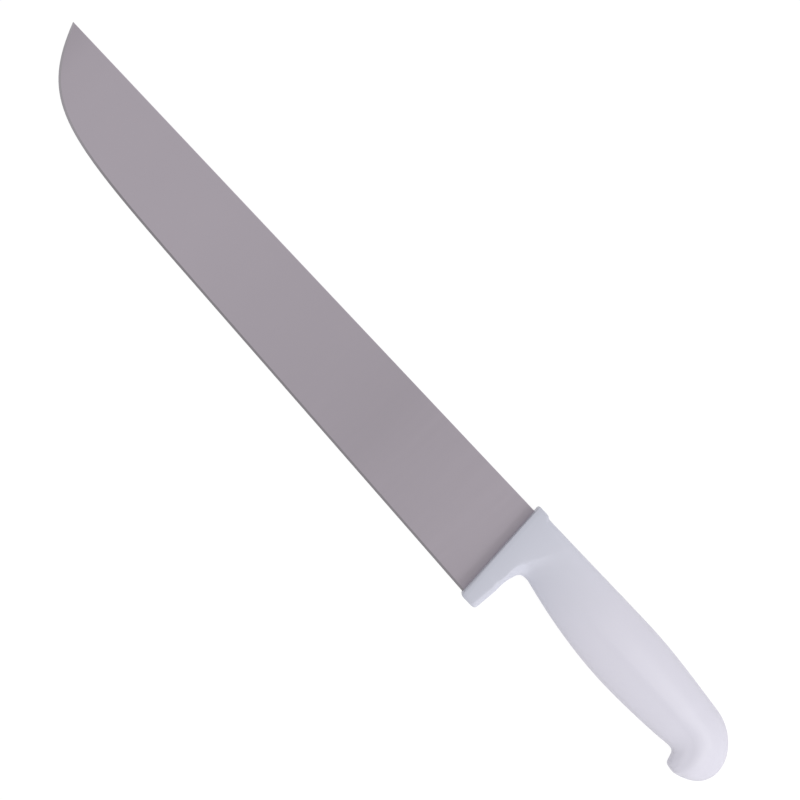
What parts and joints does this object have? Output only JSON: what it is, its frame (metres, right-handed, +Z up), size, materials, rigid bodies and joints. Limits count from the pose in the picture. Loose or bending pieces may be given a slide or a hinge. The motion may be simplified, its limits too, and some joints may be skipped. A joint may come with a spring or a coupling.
{
  "type": "meat knife",
  "caption": "Butcher's meat knife: wide straight-spined blade with an upswept belly, in a moulded white handle with a finger guard and a beak.",
  "frame": {"origin": "on the surface that the knife lies on, under the middle of its overall length and width", "axes": "+X along the spine towards the butt of the handle, +Y from the cutting edge towards the spine, +Z up out of the blade's left side"},
  "size_m": [0.4478, 0.0534, 0.0226],
  "materials": {
    "satin_steel": "satin ground stainless steel",
    "white_plastic": "white moulded polypropylene with a fine matt texture"
  },
  "bodies": {
    "root": {"blade": "satin_steel", "handle": "white_plastic"}
  },
  "joints": []
}
